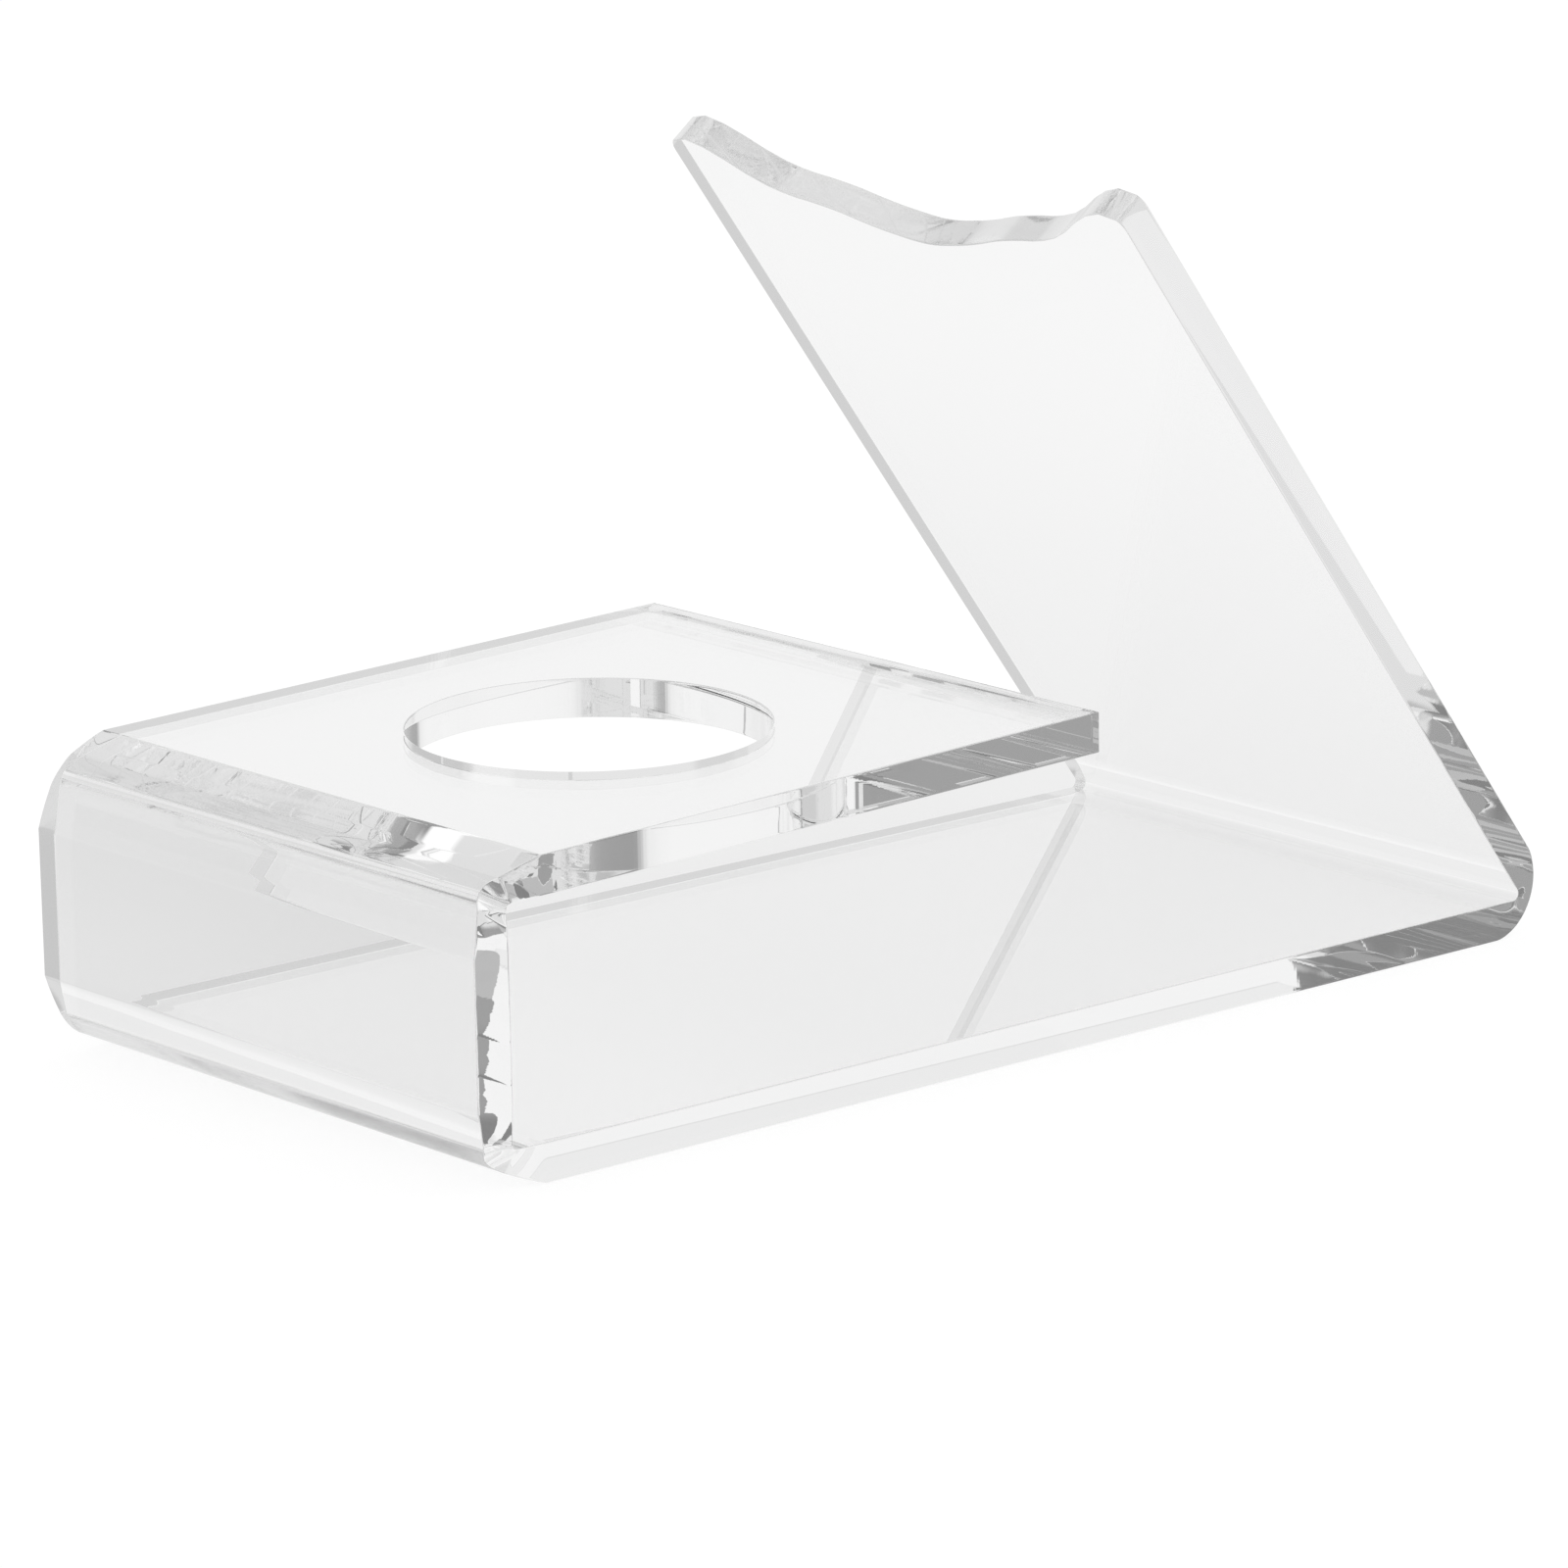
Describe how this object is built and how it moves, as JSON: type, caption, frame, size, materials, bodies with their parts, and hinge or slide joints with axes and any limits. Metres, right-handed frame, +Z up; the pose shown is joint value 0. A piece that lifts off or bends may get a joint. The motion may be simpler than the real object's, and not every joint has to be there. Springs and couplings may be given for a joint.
{
  "type": "racket display stand",
  "caption": "Clear acrylic sheet bent into a stand: flat base, raised shelf with a round hole for a racket's handle, and a leaning back rest with a saddle for its neck.",
  "frame": {"origin": "middle of the footprint, on the flat surface that the base rests on", "axes": "+X across the sheet, towards the right side seen from the front; -Y towards the front wall, +Y towards the acute bend at the rear; +Z up"},
  "size_m": [0.08, 0.1778, 0.104],
  "materials": {
    "clear_acrylic": "polished"
  },
  "bodies": {
    "root": {"bent_acrylic_sheet": "clear_acrylic"}
  },
  "joints": []
}
